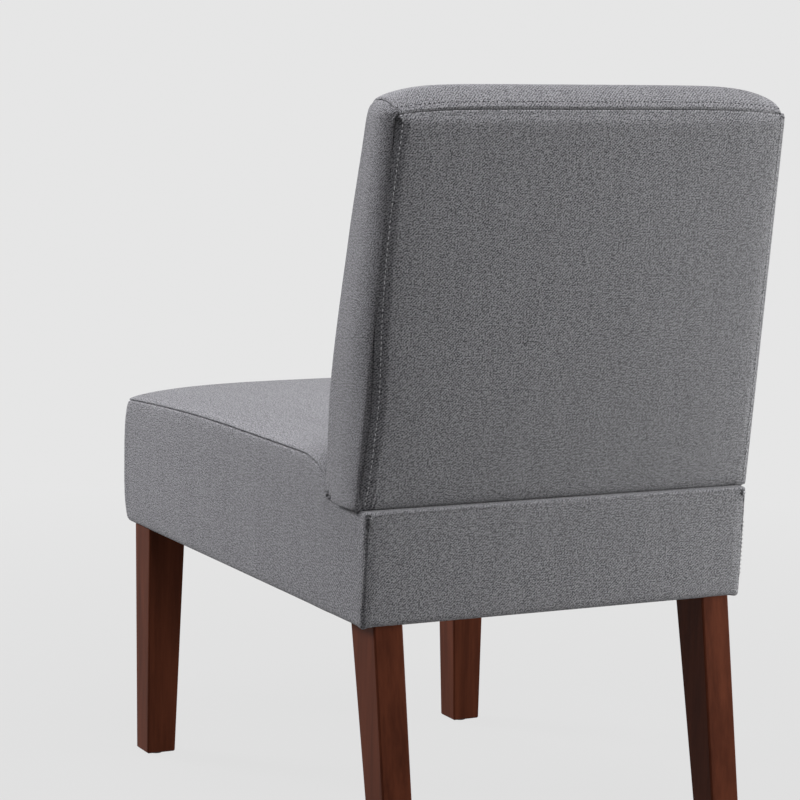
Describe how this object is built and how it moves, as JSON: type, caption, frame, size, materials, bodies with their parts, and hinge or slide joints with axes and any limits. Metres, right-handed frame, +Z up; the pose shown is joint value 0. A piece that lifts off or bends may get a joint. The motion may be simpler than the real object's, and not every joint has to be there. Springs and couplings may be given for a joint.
{
  "type": "slipper chair",
  "caption": "Armless upholstered chair: boxed seat with a rolled front edge, raked padded back on a low rear deck, tapered square legs.",
  "frame": {"origin": "on the floor, below the middle of the chair's bounding box", "axes": "+Z up, the sitter faces -Y, +X to the sitter's left"},
  "size_m": [0.4924, 0.7468, 0.8635],
  "materials": {
    "grey_fabric": "woven, matt",
    "foam": "open-cell foam, matt",
    "wadding": "fluffy, matt",
    "black_cloth": "non-woven, matt",
    "webbing": "woven strap, matt",
    "mahogany": "satin lacquer",
    "frame_wood": "sawn, bare",
    "zinc_steel": "zinc plated",
    "spring_steel": "oiled, dark",
    "nylon": "moulded, matt"
  },
  "bodies": {
    "root": {"seat_top_cover": "grey_fabric", "seat_front_cover": "grey_fabric", "seat_rear_cover": "grey_fabric", "seat_left_cover": "grey_fabric", "seat_right_cover": "grey_fabric", "back_front_cover": "grey_fabric", "back_rear_cover": "grey_fabric", "back_left_cover": "grey_fabric", "back_right_cover": "grey_fabric", "seat_foam": "foam", "seat_front_pad": "foam", "back_foam": "foam", "seat_deck_pad": "wadding", "seat_rear_pad": "wadding", "seat_left_pad": "wadding", "seat_right_pad": "wadding", "back_rear_wadding": "wadding", "spring_cloth": "black_cloth", "dust_cover": "black_cloth", "back_webbing_1": "webbing", "back_webbing_2": "webbing", "back_webbing_3": "webbing", "seat_spring_1": "spring_steel", "seat_spring_2": "spring_steel", "seat_spring_3": "spring_steel", "seat_spring_4": "spring_steel", "left_seat_rail": "frame_wood", "right_seat_rail": "frame_wood", "front_seat_rail": "frame_wood", "rear_seat_rail": "frame_wood", "seat_cross_rail": "frame_wood", "front_left_corner_block": "frame_wood", "front_right_corner_block": "frame_wood", "rear_left_corner_block": "frame_wood", "rear_right_corner_block": "frame_wood", "back_left_stile": "frame_wood", "back_right_stile": "frame_wood", "back_lower_rail": "frame_wood", "back_middle_rail": "frame_wood", "back_top_rail": "frame_wood", "front_left_leg": "mahogany", "front_right_leg": "mahogany", "rear_left_leg": "mahogany", "rear_right_leg": "mahogany", "front_left_leg_bolt": "zinc_steel", "front_right_leg_bolt": "zinc_steel", "rear_left_leg_bolt": "zinc_steel", "rear_right_leg_bolt": "zinc_steel", "front_left_leg_nut": "zinc_steel", "front_right_leg_nut": "zinc_steel", "rear_left_leg_nut": "zinc_steel", "rear_right_leg_nut": "zinc_steel", "back_left_lower_bolt": "zinc_steel", "back_left_upper_bolt": "zinc_steel", "back_right_lower_bolt": "zinc_steel", "back_right_upper_bolt": "zinc_steel", "front_left_glide": "nylon", "front_right_glide": "nylon", "rear_left_glide": "nylon", "rear_right_glide": "nylon"}
  },
  "joints": []
}
